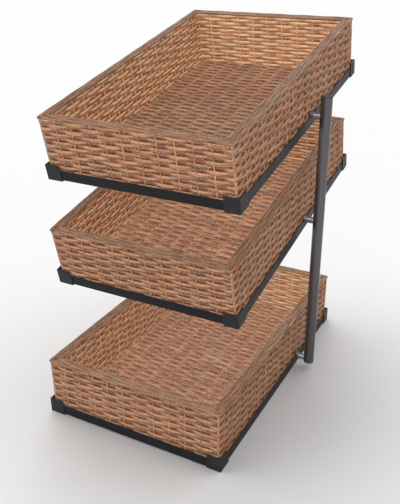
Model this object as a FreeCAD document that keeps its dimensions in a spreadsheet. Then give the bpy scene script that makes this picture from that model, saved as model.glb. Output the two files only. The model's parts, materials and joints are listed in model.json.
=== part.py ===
"""Three-tier bakery bread rack, millimetres and degrees, +Z up.

Three open trays of angle rail each hold a lift-out woven basket.  The bottom tray stands flat on the
floor and carries two round posts, one each side.  The middle and top trays hang between the posts on
a pair of studs each and tip forward about them, so that the bread faces the customer.

X runs left to right, Y from the front to the back, Z up.  The origin is on the floor, under the middle
of the whole rack.  A tray has a frame of its own: its origin is under the middle of the tray, on the
underside of its corner mouldings.
"""
import FreeCAD, Part

import math
import os

import Sketcher

SIZES = [
    # name, size, what it is
    ("tray_width", 400.0, "tray over its corner mouldings, left to right"),
    ("tray_depth", 622.0, "tray over its corner mouldings, front to back"),
    ("rail_height", 20.0, "upright leg of the angle rail"),
    ("rail_shelf", 18.0, "flat leg of the angle rail, which the basket stands on"),
    ("rail_thickness", 1.5, "sheet of the angle rail"),
    ("rail_round", 1.0, "bend on the rail's outer bottom edge"),
    ("corner_sloped_leg", 34.5, "corner moulding along the rail on its left"),
    ("corner_square_leg", 30.0, "corner moulding along the rail on its right"),
    ("corner_height", 30.8, "corner moulding, floor to top"),
    ("corner_wall", 1.5, "corner moulding outside the rails"),
    ("corner_floor", 1.8, "corner moulding under the rails"),
    ("corner_slope_run", 8.5, "sloped end of the longer leg, along the rail"),
    ("corner_slope_drop", 7.5, "sloped end of the longer leg, downwards"),
    ("corner_round", 2.5, "upright outer edge of the corner moulding"),
    ("corner_edge_round", 0.6, "top edges of the corner moulding"),
    ("screw_diameter", 3.2, "corner screw"),
    ("screw_head_diameter", 5.6, "corner screw's head"),
    ("screw_head_height", 0.8, "corner screw's head"),
    ("screw_recess", 1.0, "recess under the moulding for the screw's head"),
    ("screw_setback", 26.0, "corner screw from the tray's corner, along the rail"),
    ("screw_inset", 12.5, "corner screw from the tray's side"),
    ("basket_gap", 1.0, "basket to the rail, each side"),
    ("basket_seat_gap", 0.3, "basket above the shelf of the rails"),
    ("basket_height", 122.1, "basket, underside to rim"),
    ("basket_wall", 21.5, "double wall of the basket"),
    ("basket_floor", 7.5, "woven floor of the basket"),
    ("basket_skin", 7.0, "one layer of the double wall"),
    ("basket_corner_round", 5.0, "upright outer edge of the basket"),
    ("basket_rim_round", 4.0, "both edges of the basket's rim"),
    ("stake_pitch", 35.3, "stakes of the weave, apart along a wall and across the floor"),
    ("stake_width", 6.0, "stake, along the wall or across the floor"),
    ("weave_border", 9.0, "plain band at the rim, the foot and the corners of the weave"),
    ("wall_weave_inset", 3.3, "mean face of the wall's weave behind its stakes"),
    ("floor_weave_inset", 1.8, "mean face of the floor's weave behind its stakes"),
    ("frame_bar", 4.0, "square bar of the basket's steel frame"),
    ("frame_stake_pitch", 140.0, "uprights of the basket's frame, apart along a wall"),
    ("post_diameter", 22.5, "post tube, outside"),
    ("post_wall", 1.5, "post tube's wall"),
    ("post_foot", 15.0, "floor to the lowest point of the post"),
    ("post_overrun", 41.8, "top pivot to the top of the post"),
    ("post_setback", 395.2, "front of the bottom tray to the posts"),
    ("plug_rim", 3.0, "end plug's rim, beyond the tube"),
    ("plug_rim_round", 2.2, "outer edge of the end plug's rim"),
    ("plug_length", 14.0, "top plug inside the tube"),
    ("foot_plug_cover", 10.0, "foot plug above the stud that it holds"),
    ("pivot_height", 24.5, "pivot above the underside of its tray"),
    ("pivot_setback", 336.3, "front of a tipping tray to its pivot"),
    ("middle_pivot_height", 365.0, "middle tray's pivot above the floor"),
    ("top_pivot_height", 584.5, "top tray's pivot above the floor"),
    ("display_tilt", 11.5, "degrees that the two upper trays tip forward"),
    ("lug_radius", 8.0, "round lug on a side rail, about the pivot"),
    ("stud_diameter", 8.0, "pivot stud"),
    ("stud_head_diameter", 10.6, "pivot stud's flush head"),
    ("stud_reach", 14.0, "stud beyond the post's near face"),
    ("stud_chamfer", 1.0, "end of the stud"),
    ("nut_flats", 13.0, "lock nut across its flats"),
    ("nut_height", 6.5, "lock nut"),
    ("nut_chamfer", 0.8, "both ends of the lock nut"),
    ("spacer_diameter", 14.0, "spacer between the lock nut and the post"),
    ("spacer_length", 12.7, "spacer, from its flat end to the post"),
    ("spacer_clearance", 0.3, "lock nut to the spacer"),
    ("barrel_diameter", 14.0, "threaded cross bar inside the post"),
    ("fit_gap", 0.05, "radial gap of a shaft in its hole, or a plug in its tube"),
]

TAN_30 = math.tan(math.radians(30))
VECTOR = FreeCAD.Vector
X_AXIS = VECTOR(1, 0, 0)
Z_AXIS = VECTOR(0, 0, 1)
ALONG_X = FreeCAD.Rotation(VECTOR(0, 1, 0), 90)  # turns an upright solid to lie along X


class Size:
    """A length that carries both its number and the sheet expression that it comes from."""

    def __init__(self, number, text=None):
        self.number = float(number)
        self.text = text or f"{self.number:.12g}"

    def combine(self, sign, other, number):
        return Size(number, f"({self.text} {sign} {as_size(other).text})")

    def __add__(self, other):
        return self.combine("+", other, self.number + float(other))

    def __sub__(self, other):
        return self.combine("-", other, self.number - float(other))

    def __mul__(self, other):
        return self.combine("*", other, self.number * float(other))

    def __truediv__(self, other):
        return self.combine("/", other, self.number / float(other))

    def __neg__(self):
        return self * -1

    def __float__(self):
        return self.number


def as_size(value):
    return value if isinstance(value, Size) else Size(value)


doc = FreeCAD.newDocument("bread_rack")
sheet = doc.addObject("Spreadsheet::Sheet", "sizes")
sheet.set("A1", "size")
sheet.set("B1", "value")
sheet.set("C1", "what it is")
for row, (name, value, meaning) in enumerate(SIZES, start=2):
    sheet.set(f"A{row}", name)
    sheet.set(f"B{row}", f"{value:g}")
    sheet.set(f"C{row}", meaning)
    sheet.setAlias(f"B{row}", name)
doc.recompute()


def size(name):
    return Size(sheet.get(name), f"sizes.{name}")


# Sizes that several pieces share, worked out from the driving ones.
ZERO = Size(0)
rail_rise = size("corner_floor")
shelf_top = rail_rise + size("rail_thickness")
rail_top = rail_rise + size("rail_height")
rail_inner = size("corner_wall") + size("rail_thickness")
front_rail_length = size("tray_width") - size("corner_wall") * 2
side_rail_length = size("tray_depth") - size("corner_wall") * 2
basket_width = size("tray_width") - (rail_inner + size("basket_gap")) * 2
basket_depth = size("tray_depth") - (rail_inner + size("basket_gap")) * 2
post_radius = size("post_diameter") / 2
post_bore_radius = post_radius - size("post_wall")
tube_bottom = size("post_foot") + size("plug_rim")
tube_top = size("top_pivot_height") + size("post_overrun") - size("plug_rim")
tube_length = tube_top - tube_bottom
stud_hole_radius = size("stud_diameter") / 2 + size("fit_gap")
stud_head_hole_radius = size("stud_head_diameter") / 2 + size("fit_gap")
spacer_start = size("nut_height") + size("spacer_clearance")
post_near_face = spacer_start + size("spacer_length")
stud_length = size("rail_thickness") + post_near_face + size("stud_reach")
screw_hole_radius = size("screw_diameter") / 2 + size("fit_gap")

tilt = float(size("display_tilt"))
half_width = float(size("tray_width")) / 2
half_depth = float(size("tray_depth")) / 2
lug_face = half_width - float(rail_inner)
nut_face = lug_face + float(size("rail_thickness"))
post_x = nut_face + float(post_near_face + post_radius)
base_pivot = float(size("post_setback")) - half_depth
tipping_pivot = float(size("pivot_setback")) - half_depth


# The rack reaches from the front of the bottom tray to the lowest back edge of the tipped ones.
behind_post = half_depth - tipping_pivot
tip_sine = math.sin(math.radians(tilt))
tip_cosine = math.cos(math.radians(tilt))
back_reach = behind_post * tip_cosine + float(size("pivot_height")) * tip_sine
front_y = -(float(size("post_setback")) + back_reach) / 2
post_y = front_y + float(size("post_setback"))


def tie(thing, prop, value):
    """Binds a property to the sheet."""
    thing.setExpression(prop, as_size(value).text)


# Sketches -------------------------------------------------------------------------------------------


def sketch_on(body, plane, name, lift=None):
    """A sketch on one of the body's own planes, or lifted off it along its normal."""
    feature = next(f for f in body.Origin.OriginFeatures if f.Role == plane)
    sketch = body.newObject("Sketcher::SketchObject", name)
    sketch.AttachmentSupport = (feature, [""])
    sketch.MapMode = "FlatFace"
    if lift is not None:
        tie(sketch, "AttachmentOffset.Base.z", lift)
    return sketch


def tie_point(sketch, line, point, x, y):
    """Holds a point of the sketch at a distance from its origin each way."""
    for kind, value in (("DistanceX", x), ("DistanceY", y)):
        index = sketch.addConstraint(Sketcher.Constraint(kind, -1, 1, line, point, float(value)))
        tie(sketch, f"Constraints[{index}]", value)


def polygon(sketch, corners):
    """Straight lines round the given corners."""
    first = sketch.GeometryCount
    count = len(corners)
    points = [VECTOR(float(x), float(y), 0) for x, y in corners]
    for i in range(count):
        sketch.addGeometry(Part.LineSegment(points[i], points[(i + 1) % count]), False)
    for i in range(count):
        following = first + (i + 1) % count
        sketch.addConstraint(Sketcher.Constraint("Coincident", first + i, 2, following, 1))
        tie_point(sketch, first + i, 1, *corners[i])


def rectangle(sketch, x, y, width, height):
    """A rectangle about the middle (x, y)."""
    left = as_size(x) - as_size(width) / 2
    low = as_size(y) - as_size(height) / 2
    right, high = left + width, low + height
    polygon(sketch, [(left, low), (right, low), (right, high), (left, high)])


def circle(sketch, x, y, radius):
    shape = Part.Circle(VECTOR(float(x), float(y), 0), Z_AXIS, float(radius))
    index = sketch.addGeometry(shape, False)
    tie_point(sketch, index, 3, x, y)
    last = sketch.addConstraint(Sketcher.Constraint("Radius", index, float(radius)))
    tie(sketch, f"Constraints[{last}]", radius)


def corner_plan(sketch, width):
    """The plan of a corner moulding: its sloped leg along X and its square leg along Y."""
    sloped, square = size("corner_sloped_leg"), size("corner_square_leg")
    polygon(sketch, [(ZERO, ZERO), (sloped, ZERO), (sloped, width),
                     (width, width), (width, square), (ZERO, square)])


# Body features --------------------------------------------------------------------------------------


def new_body(label):
    body = doc.addObject("PartDesign::Body", label)
    body.Label = label
    return body


def pad(body, sketch, name, length, side="One side", reverse=False):
    feature = body.newObject("PartDesign::Pad", name)
    feature.Profile = sketch
    feature.SideType = side
    feature.Reversed = reverse
    tie(feature, "Length", length)
    return feature


def pocket(body, sketch, name, depth=None, reverse=False):
    """Cuts to a depth, or both ways through all of the body when there is none."""
    feature = body.newObject("PartDesign::Pocket", name)
    feature.Profile = sketch
    feature.Reversed = reverse
    if depth is None:
        feature.Type = "ThroughAll"
        feature.SideType = "Symmetric"
    else:
        tie(feature, "Length", depth)
    return feature


def revolve(body, sketch, name, axis):
    feature = body.newObject("PartDesign::Revolution", name)
    feature.Profile = sketch
    feature.ReferenceAxis = (sketch, [axis])
    feature.Angle = 360
    return feature


def fillet(body, name, radius, wanted):
    """Rounds the edges of the body's last feature whose middle passes the test."""
    doc.recompute()
    base = body.Tip
    names = []
    for number, edge in enumerate(base.Shape.Edges, start=1):
        middle = edge.valueAt((edge.FirstParameter + edge.LastParameter) / 2)
        if wanted(edge, middle):
            names.append(f"Edge{number}")
    assert names, f"{body.Label} has no edge for {name}"
    feature = body.newObject("PartDesign::Fillet", name)
    feature.Base = (base, names)
    tie(feature, "Radius", radius)
    return feature


def close_to(a, b):
    return abs(float(a) - float(b)) < 1e-6


def runs_along(edge, axis):
    start, end = edge.Vertexes[0].Point, edge.Vertexes[-1].Point
    return (end - start).Length > 0 and abs((end - start).normalize().dot(axis)) > 1 - 1e-9


# Placements -----------------------------------------------------------------------------------------


def shift(x, y, z):
    return FreeCAD.Placement(VECTOR(float(x), float(y), float(z)), FreeCAD.Rotation())


def turn(axis, degrees):
    return FreeCAD.Placement(VECTOR(), FreeCAD.Rotation(axis, degrees))


def tipping_tray(pivot_height):
    """Where a tray stands that tips about its studs."""
    pivot = shift(0, post_y, pivot_height)
    return pivot * turn(X_AXIS, tilt) * shift(0, -tipping_pivot, -size("pivot_height"))


TRAYS = {
    "base": (shift(0, front_y + half_depth, 0), base_pivot),
    "middle": (tipping_tray(size("middle_pivot_height")), tipping_pivot),
    "top": (tipping_tray(size("top_pivot_height")), tipping_pivot),
}

# Each side and corner of a tray is the first one turned about the tray's middle.
TURNS = {"front": 0, "right": 90, "back": 180, "left": 270}
CORNER_TURNS = {"front_left": 0, "front_right": 90, "back_right": 180, "back_left": 270}

# Pivots and posts point outwards: those on the left are the right-hand ones turned half round.
HANDS = {"left": (-post_x, 180), "right": (post_x, 0)}


def rail_seat(side):
    """A rail's place in its tray."""
    reach = half_depth if side in ("front", "back") else half_width
    return turn(Z_AXIS, TURNS[side]) * shift(0, float(size("corner_wall")) - reach, rail_rise)


def corner_seat(degrees):
    """A corner moulding's place in its tray: a quarter turn swaps the tray's width and depth."""
    wide, deep = (half_width, half_depth) if degrees % 180 == 0 else (half_depth, half_width)
    return turn(Z_AXIS, degrees) * shift(-wide, -deep, 0)


# Trays ----------------------------------------------------------------------------------------------


def angle_rail(label, length, placement, pivot=None):
    """An angle rail with mitred ends.  A side rail has a round lug for its pivot stud.

    Its own frame: X along the rail from its middle, Y into the tray, Z up, from the outer bottom edge.
    """
    body = new_body(label)
    shelf, sheet_thickness, height = size("rail_shelf"), size("rail_thickness"), size("rail_height")
    section = sketch_on(body, "YZ_Plane", f"{label}_section")
    polygon(section, [(ZERO, ZERO), (shelf, ZERO), (shelf, sheet_thickness),
                      (sheet_thickness, sheet_thickness), (sheet_thickness, height), (ZERO, height)])
    pad(body, section, f"{label}_bar", length, side="Symmetric")

    mitres = sketch_on(body, "XY_Plane", f"{label}_mitres")
    holes = sketch_on(body, "XY_Plane", f"{label}_holes")
    for end in (-1, 1):
        tip = length / 2 * end
        polygon(mitres, [(tip, ZERO), (tip, shelf), (tip - shelf * end, shelf)])
        hole_x = tip - (size("screw_setback") - size("corner_wall")) * end
        circle(holes, hole_x, size("screw_inset") - size("corner_wall"), screw_hole_radius)
    pocket(body, mitres, f"{label}_mitre_cut")
    pocket(body, holes, f"{label}_screw_holes")
    fillet(body, f"{label}_bend", size("rail_round"),
           lambda edge, middle: runs_along(edge, X_AXIS) and close_to(middle.y, 0) and close_to(middle.z, 0))

    if pivot is not None:
        axis_height = size("pivot_height") - rail_rise
        lug = sketch_on(body, "XZ_Plane", f"{label}_lug_outline")
        circle(lug, pivot, axis_height, size("lug_radius"))
        pad(body, lug, f"{label}_lug", sheet_thickness, reverse=True)
        cheeks = sketch_on(body, "XZ_Plane", f"{label}_cheeks_outline")
        low = height / 2
        rectangle(cheeks, pivot, (axis_height + low) / 2, size("lug_radius") * 2, axis_height - low)
        pad(body, cheeks, f"{label}_cheeks", sheet_thickness, reverse=True)
        hole = sketch_on(body, "XZ_Plane", f"{label}_stud_hole_outline")
        circle(hole, pivot, axis_height, stud_head_hole_radius)
        pocket(body, hole, f"{label}_stud_hole", sheet_thickness * 2)
        doc.recompute()
    body.Placement = placement
    return body


def is_outside(point):
    """Whether a point lies on a corner moulding's outer faces or half-way round its upright edge."""
    return close_to(point.x, 0) or close_to(point.y, 0) or close_to(point.x, point.y)


def corner_moulding(label, placement):
    """A moulding that wraps two rails where they meet: one leg ends in a slope, the other is square.

    Its own frame: the tray's outer corner, with the sloped leg along X and the square one along Y.
    """
    body = new_body(label)
    leg, top = size("corner_sloped_leg"), size("corner_height")
    floor = sketch_on(body, "XY_Plane", f"{label}_floor_plan")
    corner_plan(floor, size("corner_wall") + size("rail_shelf"))
    pad(body, floor, f"{label}_floor", size("corner_floor"))
    wall = sketch_on(body, "XY_Plane", f"{label}_wall_plan")
    corner_plan(wall, size("corner_wall"))
    pad(body, wall, f"{label}_wall", top)
    lip = sketch_on(body, "XY_Plane", f"{label}_lip_plan", rail_top)
    corner_plan(lip, rail_inner)
    pad(body, lip, f"{label}_lip", top - rail_top)

    slope = sketch_on(body, "XZ_Plane", f"{label}_slope_outline")
    slope_end = top - size("corner_slope_drop")
    polygon(slope, [(leg - size("corner_slope_run"), top), (leg, slope_end), (leg, top)])
    pocket(body, slope, f"{label}_slope")
    fillet(body, f"{label}_upright_round", size("corner_round"),
           lambda edge, middle: runs_along(edge, Z_AXIS) and close_to(middle.x, 0) and close_to(middle.y, 0))
    fillet(body, f"{label}_top_round", size("corner_edge_round"),
           lambda edge, middle: close_to(middle.z, top) and is_outside(middle))

    across, along = size("screw_inset"), size("screw_setback")
    recesses = sketch_on(body, "XY_Plane", f"{label}_recess_outline")
    holes = sketch_on(body, "XY_Plane", f"{label}_hole_outline")
    for x, y in ((along, across), (across, along)):
        circle(recesses, x, y, size("screw_head_diameter") / 2 + size("fit_gap") * 2)
        circle(holes, x, y, screw_hole_radius)
    pocket(body, recesses, f"{label}_recesses", size("screw_recess"), reverse=True)
    pocket(body, holes, f"{label}_holes")
    doc.recompute()
    body.Placement = placement
    return body


def cylinder(name, radius, length, placement):
    """A cylinder up Z from the placement's origin."""
    shape = doc.addObject("Part::Cylinder", name)
    tie(shape, "Radius", radius)
    tie(shape, "Height", length)
    shape.Placement = placement
    return shape


def corner_screws(label, placement):
    """The eight screws that hold a tray's rails in its corner mouldings, up from below."""
    low = size("screw_recess") - size("screw_head_height")
    length = shelf_top - low
    screws = []
    for number, degrees in enumerate(CORNER_TURNS.values()):
        legs = ((size("screw_setback"), size("screw_inset")), (size("screw_inset"), size("screw_setback")))
        for leg, (x, y) in enumerate(legs):
            name = f"{label}_{number}_{leg}"
            seat = corner_seat(degrees) * shift(x, y, low)
            shank = cylinder(f"{name}_shank", size("screw_diameter") / 2, length, seat)
            head = cylinder(f"{name}_head", size("screw_head_diameter") / 2, size("screw_head_height"), seat)
            screw = doc.addObject("Part::Fuse", name)
            screw.Base, screw.Tool = shank, head
            screws.append(screw)
    group = doc.addObject("Part::Compound", label)
    group.Label = label
    group.Links = screws
    group.Placement = placement
    return group


# Pivots ---------------------------------------------------------------------------------------------


def pivot_stud(label, placement):
    """A stud with a flush head, along X from the inner face of the lug."""
    body = new_body(label)
    head, shank = size("stud_head_diameter") / 2, size("stud_diameter") / 2
    chamfer, sheet_thickness = size("stud_chamfer"), size("rail_thickness")
    section = sketch_on(body, "XY_Plane", f"{label}_section")
    polygon(section, [(ZERO, ZERO), (stud_length, ZERO), (stud_length, shank - chamfer),
                      (stud_length - chamfer, shank), (sheet_thickness, shank),
                      (sheet_thickness, head), (ZERO, head)])
    revolve(body, section, f"{label}_turned", "H_Axis")
    doc.recompute()
    body.Placement = placement
    return body


def lock_nut(label, placement):
    """A hexagon nut along X, with its corners turned off at both ends."""
    body = new_body(label)
    flats, height, chamfer = size("nut_flats"), size("nut_height"), size("nut_chamfer")
    corner = flats / 2 * math.hypot(1, TAN_30)
    section = sketch_on(body, "XY_Plane", f"{label}_section")
    polygon(section, [(ZERO, stud_hole_radius), (height, stud_hole_radius),
                      (height, corner - chamfer), (height - chamfer / 2, corner),
                      (chamfer / 2, corner), (ZERO, corner - chamfer)])
    revolve(body, section, f"{label}_turned", "H_Axis")
    ring = sketch_on(body, "YZ_Plane", f"{label}_flats_outline")
    circle(ring, ZERO, ZERO, corner * 2)
    side = flats / 2 * TAN_30
    polygon(ring, [(flats / 2, -side), (flats / 2, side), (ZERO, side * 2),
                   (-flats / 2, side), (-flats / 2, -side), (ZERO, side * -2)])
    pocket(body, ring, f"{label}_flats")
    doc.recompute()
    body.Placement = placement
    return body


def across(name, radius, start, length, height=ZERO):
    """A cylinder along -X at a height, from a distance short of the post's axis."""
    away = FreeCAD.Placement(VECTOR(-float(start), 0, float(height)), ALONG_X.inverted())
    return cylinder(name, radius, length, away)


def spacer(label, placement):
    """A sleeve from the lock nut to the post, with its far end hollowed to the tube."""
    reach = size("spacer_length") + post_radius
    outside = across(f"{label}_outside", size("spacer_diameter") / 2, ZERO, reach)
    bore = across(f"{label}_bore", stud_hole_radius, ZERO, reach)
    tube = cylinder(f"{label}_tube", post_radius + size("fit_gap"), size("spacer_diameter") * 2,
                    shift(0, 0, -size("spacer_diameter")))
    tools = doc.addObject("Part::Fuse", f"{label}_tools")
    tools.Base, tools.Tool = bore, tube
    sleeve = doc.addObject("Part::Cut", label)
    sleeve.Label = label
    sleeve.Base, sleeve.Tool = outside, tools
    sleeve.Placement = placement
    return sleeve


def barrel_nut(name, height):
    """A cross bar inside the post that the stud screws into, shaped to the tube's bore."""
    length = post_bore_radius * 2
    bar = across(f"{name}_bar", size("barrel_diameter") / 2, -post_bore_radius, length, height)
    inside = cylinder(f"{name}_inside", post_bore_radius - size("fit_gap"), size("barrel_diameter") * 2,
                      shift(0, 0, height - size("barrel_diameter")))
    blank = doc.addObject("Part::Common", f"{name}_blank")
    blank.Base, blank.Tool = bar, inside
    thread = across(f"{name}_thread", stud_hole_radius, -post_bore_radius, length, height)
    nut = doc.addObject("Part::Cut", name)
    nut.Base, nut.Tool = blank, thread
    return nut


def barrel_nuts(label, placement):
    heights = (size("middle_pivot_height"), size("top_pivot_height"))
    group = doc.addObject("Part::Compound", label)
    group.Label = label
    group.Links = [barrel_nut(f"{label}_{number}", height) for number, height in enumerate(heights)]
    group.Placement = placement
    return group


# Posts ----------------------------------------------------------------------------------------------


def post(label, placement):
    """A round tube, drilled through its inner side at each pivot.  Its frame stands on the floor."""
    outside = cylinder(f"{label}_outside", post_radius, tube_length, shift(0, 0, tube_bottom))
    bore = cylinder(f"{label}_bore", post_bore_radius, tube_length, shift(0, 0, tube_bottom))
    heights = (size("pivot_height"), size("middle_pivot_height"), size("top_pivot_height"))
    drills = [across(f"{label}_drill_{number}", stud_hole_radius, ZERO, post_radius * 2, height)
              for number, height in enumerate(heights)]
    tools = doc.addObject("Part::MultiFuse", f"{label}_tools")
    tools.Shapes = [bore] + drills
    tube = doc.addObject("Part::Cut", label)
    tube.Label = label
    tube.Base, tube.Tool = outside, tools
    tube.Placement = placement
    return tube


def end_plug(label, length, placement, stud_height=None):
    """A plug with a rounded rim that closes a post's end.  Its frame: the middle of the rim's face.

    The foot plug is longer and cross-bored, because the bottom tray's stud screws into it.
    """
    body = new_body(label)
    rim, plug_radius = size("plug_rim"), post_bore_radius - size("fit_gap")
    section = sketch_on(body, "XZ_Plane", f"{label}_section")
    polygon(section, [(ZERO, ZERO), (post_radius, ZERO), (post_radius, rim), (plug_radius, rim),
                      (plug_radius, rim + length), (ZERO, rim + length)])
    revolve(body, section, f"{label}_turned", "V_Axis")
    fillet(body, f"{label}_rim_round", size("plug_rim_round"),
           lambda edge, middle: close_to(middle.z, 0) and len(edge.Vertexes) == 1)
    if stud_height is not None:
        bore = sketch_on(body, "YZ_Plane", f"{label}_bore_outline")
        circle(bore, ZERO, stud_height, stud_hole_radius)
        pocket(body, bore, f"{label}_bore")
    doc.recompute()
    body.Placement = placement
    return body


# Baskets --------------------------------------------------------------------------------------------


def repeat(body, features, name, direction, pitch, count):
    """Repeats features along an axis of their sketch, as many times as the count."""
    pattern = body.newObject("PartDesign::LinearPattern", name)
    pattern.Originals = features
    pattern.Direction = direction
    pattern.Occurrences = count
    tie(pattern, "Length", pitch * (count - 1))
    body.Tip = pattern


def woven_spans(length):
    """Panels along a wall: how many there are, how far apart, how wide, and the middle of the first."""
    run = length - size("weave_border") * 2
    stake = size("stake_width")
    count = max(2, round(float((run + stake) / size("stake_pitch"))))
    pitch = (run + stake) / count
    return count, pitch, pitch - stake, (pitch - stake - run) / 2


def wall_panels(body, name, width, depth, foot):
    """Sets the weave back between the stakes, on the faces of a rectangle of walls."""
    inset, border = size("wall_weave_inset"), size("weave_border")
    high = size("basket_height") - border - foot
    for axis, length, reach in (("H_Axis", width, depth / 2), ("V_Axis", depth, width / 2)):
        count, pitch, panel, first = woven_spans(length)
        outline = sketch_on(body, "XY_Plane", f"{name}_{axis}_outline", foot)
        for side in (-1, 1):
            if axis == "H_Axis":
                rectangle(outline, first, reach * side, panel, inset * 2)
            else:
                rectangle(outline, reach * side, first, inset * 2, panel)
        cut = pocket(body, outline, f"{name}_{axis}_panel", high, reverse=True)
        repeat(body, [cut], f"{name}_{axis}_panels", (outline, [axis]), pitch, count)


def floor_panels(body, name, width, depth):
    """Sets the floor's weave back between its stakes, above and below."""
    inset, border = size("floor_weave_inset"), size("weave_border")
    count, pitch, panel, first = woven_spans(width)
    cuts = []
    for face, lift, upward in (("under", ZERO, True), ("upper", size("basket_floor"), False)):
        outline = sketch_on(body, "XY_Plane", f"{name}_{face}_outline", lift)
        rectangle(outline, first, ZERO, panel, depth - border * 2)
        cuts.append(pocket(body, outline, f"{name}_{face}_panel", inset, reverse=upward))
    repeat(body, cuts, f"{name}_panels", (outline, ["H_Axis"]), pitch, count)


def basket(label, placement):
    """A double-walled woven basket.  The gap between its two layers is open from below.

    Its stakes, borders and rim stand proud, and between them its weave is a panel at its mean depth.
    Its own frame: the middle of its underside.
    """
    body = new_body(label)
    height, wall, skin = size("basket_height"), size("basket_wall"), size("basket_skin")
    outline = sketch_on(body, "XY_Plane", f"{label}_outline")
    rectangle(outline, ZERO, ZERO, basket_width, basket_depth)
    pad(body, outline, f"{label}_block", height)
    inside_width, inside_depth = basket_width - wall * 2, basket_depth - wall * 2
    inside = sketch_on(body, "XY_Plane", f"{label}_inside_outline", size("basket_floor"))
    rectangle(inside, ZERO, ZERO, inside_width, inside_depth)
    pocket(body, inside, f"{label}_inside", height, reverse=True)
    corner_x, corner_y = float(basket_width) / 2, float(basket_depth) / 2
    fillet(body, f"{label}_corners", size("basket_corner_round"),
           lambda edge, middle: runs_along(edge, Z_AXIS) and close_to(abs(middle.x), corner_x)
           and close_to(abs(middle.y), corner_y))
    fillet(body, f"{label}_rim", size("basket_rim_round"), lambda edge, middle: close_to(middle.z, height))
    groove = sketch_on(body, "XY_Plane", f"{label}_groove_outline")
    for inset in (skin, wall - skin):
        rectangle(groove, ZERO, ZERO, basket_width - inset * 2, basket_depth - inset * 2)
    pocket(body, groove, f"{label}_groove", height - skin, reverse=True)
    border = size("weave_border")
    wall_panels(body, f"{label}_outside", basket_width, basket_depth, border)
    wall_panels(body, f"{label}_inside", inside_width, inside_depth, size("basket_floor") + border)
    floor_panels(body, f"{label}_floor", inside_width, inside_depth)
    doc.recompute()
    body.Placement = placement
    return body


def basket_frame(label, placement):
    """The steel frame in a basket's double wall: a hoop under the rim, one at the foot, and uprights."""
    body = new_body(label)
    bar = size("frame_bar")
    width = basket_width - size("basket_wall")
    depth = basket_depth - size("basket_wall")
    height = size("basket_height") - size("basket_skin")

    foot = sketch_on(body, "XY_Plane", f"{label}_foot_outline")
    rim = sketch_on(body, "XY_Plane", f"{label}_rim_outline", height - bar)
    for hoop in (foot, rim):
        rectangle(hoop, ZERO, ZERO, width + bar, depth + bar)
        rectangle(hoop, ZERO, ZERO, width - bar, depth - bar)
    pad(body, foot, f"{label}_foot_hoop", bar)

    uprights = sketch_on(body, "XY_Plane", f"{label}_uprights_outline")
    across_spans = max(1, round(float(width / size("frame_stake_pitch"))))
    along_spans = max(1, round(float(depth / size("frame_stake_pitch"))))
    for side in (-1, 1):
        for i in range(across_spans + 1):
            rectangle(uprights, width * (i / across_spans - 0.5), depth / 2 * side, bar, bar)
        for i in range(1, along_spans):
            rectangle(uprights, width / 2 * side, depth * (i / along_spans - 0.5), bar, bar)
    pad(body, uprights, f"{label}_uprights", height)

    pad(body, rim, f"{label}_rim_hoop", bar)
    doc.recompute()
    body.Placement = placement
    return body


# Assembly -------------------------------------------------------------------------------------------

pieces = []
for tier, (tray, pivot_y) in TRAYS.items():
    for side, degrees in TURNS.items():
        rail_length = front_rail_length if side in ("front", "back") else side_rail_length
        setback = size("post_setback") if tier == "base" else size("pivot_setback")
        offset = setback - size("tray_depth") / 2
        lug_at = {"right": offset, "left": -offset}.get(side)
        pieces.append(angle_rail(f"{tier}_{side}_rail", rail_length, tray * rail_seat(side), lug_at))
    for corner, degrees in CORNER_TURNS.items():
        pieces.append(corner_moulding(f"{tier}_{corner}_corner", tray * corner_seat(degrees)))
    pieces.append(corner_screws(f"{tier}_corner_screws", tray))

    pivot = tray * shift(0, pivot_y, size("pivot_height"))
    for hand, (x, degrees) in HANDS.items():
        axis = pivot * turn(Z_AXIS, degrees)
        pieces.append(pivot_stud(f"{tier}_{hand}_stud", axis * shift(lug_face, 0, 0)))
        pieces.append(lock_nut(f"{tier}_{hand}_lock_nut", axis * shift(nut_face, 0, 0)))
        at_post = shift(x, post_y, pivot.Base.z) * turn(Z_AXIS, degrees)
        pieces.append(spacer(f"{tier}_{hand}_spacer", at_post))

    basket_seat = tray * shift(0, 0, shelf_top + size("basket_seat_gap"))
    pieces.append(basket(f"{tier}_basket", basket_seat))
    pieces.append(basket_frame(f"{tier}_basket_frame", basket_seat))

foot_plug_length = size("pivot_height") + size("foot_plug_cover") - tube_bottom
stud_in_plug = size("pivot_height") - size("post_foot")
for hand, (x, degrees) in HANDS.items():
    stand = shift(x, post_y, 0) * turn(Z_AXIS, degrees)
    pieces.append(post(f"{hand}_post", stand))
    pieces.append(barrel_nuts(f"{hand}_barrel_nuts", stand))
    at_foot = stand * shift(0, 0, size("post_foot"))
    pieces.append(end_plug(f"{hand}_foot_plug", foot_plug_length, at_foot, stud_in_plug))
    upside_down = stand * shift(0, 0, tube_top + size("plug_rim")) * turn(X_AXIS, 180)
    pieces.append(end_plug(f"{hand}_top_plug", size("plug_length"), upside_down))

doc.recompute()

# Checks and files -----------------------------------------------------------------------------------

for thing in doc.Objects:
    for state in thing.State:
        assert state not in ("Invalid", "Error"), f"{thing.Label} is {state}"
    if thing.TypeId in ("PartDesign::Pocket", "PartDesign::LinearPattern"):
        assert thing.Shape.Volume < thing.BaseFeature.Shape.Volume, f"{thing.Label} cuts nothing"
for piece in pieces:
    assert not piece.Shape.isNull(), f"{piece.Label} has no shape"
    assert piece.Shape.isValid(), f"{piece.Label} isn't valid"

os.makedirs("parts", exist_ok=True)
for piece in pieces:
    piece.Shape.exportStep(f"parts/{piece.Label}.step")

box = FreeCAD.BoundBox()
for piece in pieces:
    box.add(piece.Shape.BoundBox)
print(f"{len(pieces)} pieces, {sum(len(piece.Shape.Solids) for piece in pieces)} solids")
print(f"{box.XLength:.1f} wide, {box.YLength:.1f} deep, {box.ZLength:.1f} high")
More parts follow.
